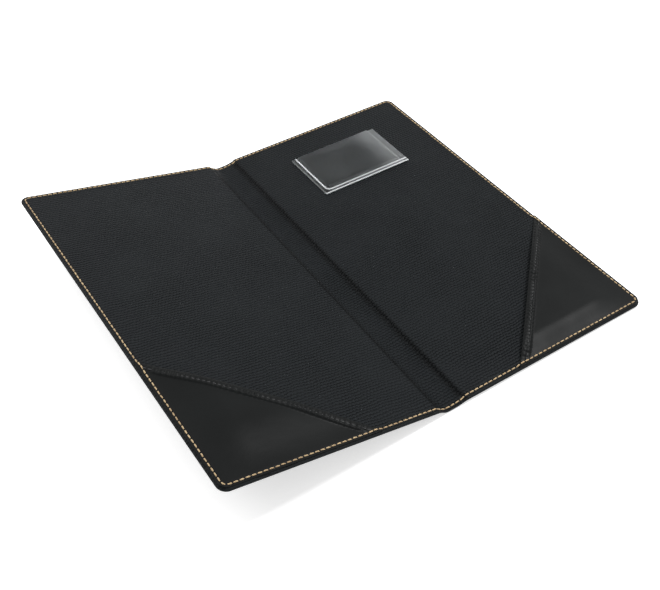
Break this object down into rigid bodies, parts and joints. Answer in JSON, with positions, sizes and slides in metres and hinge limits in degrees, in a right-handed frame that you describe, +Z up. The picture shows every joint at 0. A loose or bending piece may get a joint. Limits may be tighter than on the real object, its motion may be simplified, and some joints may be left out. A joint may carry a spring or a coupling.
{
  "type": "cheque presenter",
  "caption": "Open folding bill presenter in black leatherette with tan edge stitching, two triangular corner pockets and a clear card pocket.",
  "frame": {"origin": "on the table, under the middle of the box around the open presenter", "axes": "+X from the left cover to the right cover, +Y from the bottom edge to the top edge, +Z up"},
  "size_m": [0.2564, 0.235, 0.0351],
  "materials": {
    "cover_leatherette": "black leatherette with a fine scale grain, semi-matt",
    "lining_leatherette": "black leatherette with a fine scale grain, semi-matt",
    "pocket_leatherette": "smooth black leatherette, satin",
    "grey_board": "raw grey board",
    "clear_film": "clear flexible vinyl, glossy",
    "tan_thread": "twisted sewing thread, slight lustre"
  },
  "bodies": {
    "right_cover": {"right_cover_sheet": "cover_leatherette", "right_board": "grey_board", "right_lining": "lining_leatherette", "right_corner_pocket": "pocket_leatherette", "card_pocket_back": "clear_film", "card_pocket_front": "clear_film", "right_inner_stitching": "tan_thread", "right_outer_stitching": "tan_thread"},
    "spine": {"spine_cover_sheet": "cover_leatherette", "spine_lining": "lining_leatherette", "spine_inner_stitching_head": "tan_thread", "spine_inner_stitching_tail": "tan_thread", "spine_outer_stitching_head": "tan_thread", "spine_outer_stitching_tail": "tan_thread"},
    "left_cover": {"left_cover_sheet": "cover_leatherette", "left_board": "grey_board", "left_lining": "lining_leatherette", "left_corner_pocket": "pocket_leatherette", "left_inner_stitching": "tan_thread", "left_outer_stitching": "tan_thread"}
  },
  "joints": [
    {"name": "right_fold", "type": "hinge", "parent": "right_cover", "child": "spine", "pos_m": [0.00522, 0, 0.0019], "axis": [0, 1, 0], "range_deg": [-6.7, 83.3]},
    {"name": "left_fold", "type": "hinge", "parent": "spine", "child": "left_cover", "pos_m": [-0.00868, 0, 0.00362], "axis": [0, 1, 0], "range_deg": [-6.7, 83.3]}
  ]
}
